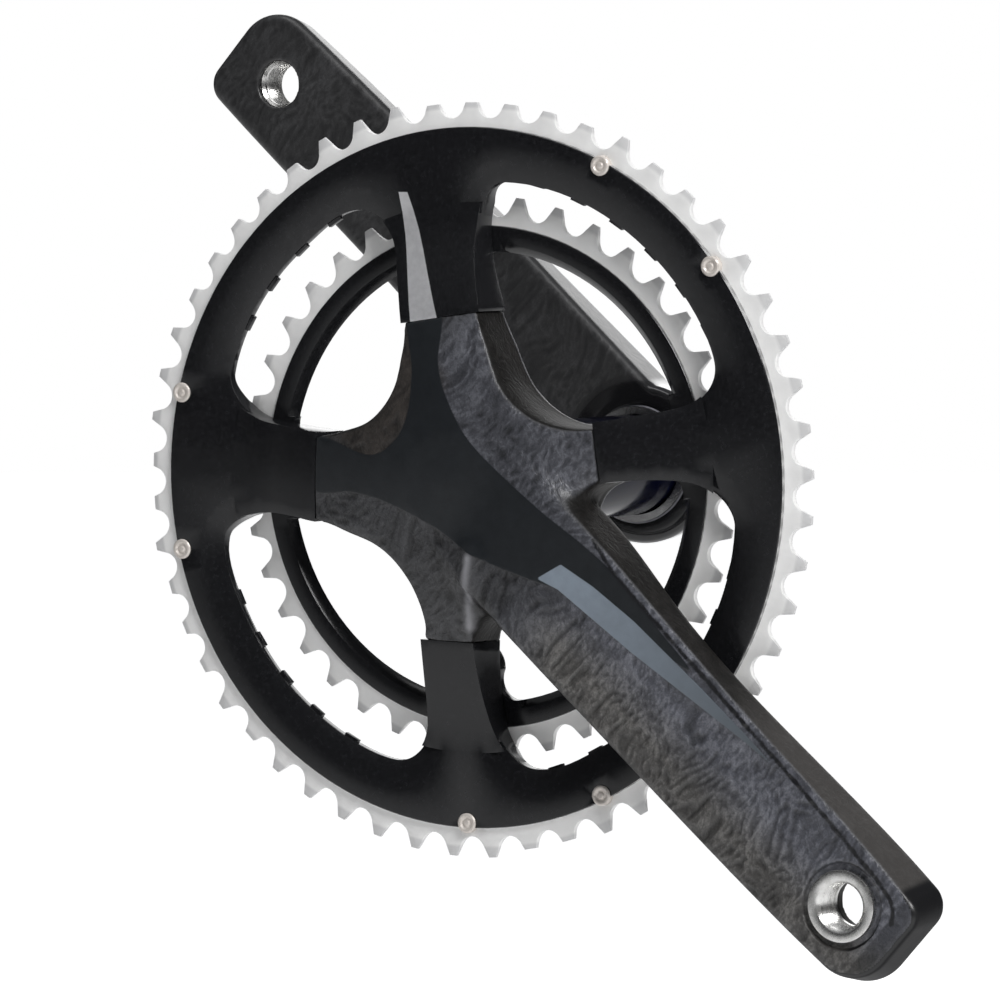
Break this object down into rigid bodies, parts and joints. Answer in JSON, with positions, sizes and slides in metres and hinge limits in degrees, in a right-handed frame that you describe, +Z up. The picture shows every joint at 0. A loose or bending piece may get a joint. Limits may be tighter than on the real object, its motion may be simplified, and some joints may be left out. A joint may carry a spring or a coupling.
{
  "type": "bicycle crankset",
  "caption": "Two-piece road bicycle crankset: hollow composite arms, four-arm spider with two chainrings, and a wide hollow spindle.",
  "frame": {"origin": "on the spindle's axis, at the middle of the bicycle (midway between the pedal faces)", "axes": "+X forward, +Y along the spindle from the chainring side to the left side, +Z up"},
  "size_m": [0.308, 0.1447, 0.2723],
  "materials": {
    "carbon_composite": "satin clear coat over chopped dark fibre",
    "ring_black_and_machined": "black anodised body, bare machined teeth",
    "machined_alloy": "bright machined",
    "steel_fastener": "satin",
    "spindle_anodised": "glossy black anodised",
    "moulded_cap": "matte",
    "seal_rubber": "matte",
    "cap_anodised": "black anodised"
  },
  "bodies": {
    "drive_side": {"drive_crank_arm": "carbon_composite", "drive_pedal_insert": "machined_alloy", "outer_chainring": "ring_black_and_machined", "inner_chainring": "ring_black_and_machined", "shift_pins": "steel_fastener", "chain_guard_pin": "steel_fastener", "tab_bushes": "machined_alloy", "ring_bolt_1": "steel_fastener", "ring_bolt_2": "steel_fastener", "ring_bolt_3": "steel_fastener", "ring_bolt_4": "steel_fastener", "spindle": "spindle_anodised", "spindle_socket": "machined_alloy", "spindle_plug": "moulded_cap"},
    "left_side": {"left_crank_arm": "carbon_composite", "left_pedal_insert": "machined_alloy", "left_spline_insert": "machined_alloy", "extractor_cap": "cap_anodised", "bolt_washer": "steel_fastener"},
    "bolt": {"crank_bolt": "steel_fastener"},
    "washer": {"wave_washer": "steel_fastener"},
    "seal": {"bearing_seal": "seal_rubber"}
  },
  "joints": [
    {"name": "left_arm_slide", "type": "slide", "parent": "drive_side", "child": "left_side", "axis": [0, 1, 0], "range_m": [0, 0.13]},
    {"name": "crank_bolt_turn", "type": "hinge", "parent": "left_side", "child": "bolt", "pos_m": [0, 0.06, 0], "axis": [0, 1, 0], "continuous": true},
    {"name": "wave_washer_slide", "type": "slide", "parent": "left_side", "child": "washer", "axis": [0, -1, 0], "range_m": [0, 0.06]},
    {"name": "bearing_seal_slide", "type": "slide", "parent": "drive_side", "child": "seal", "axis": [0, 1, 0], "range_m": [0, 0.02]}
  ]
}
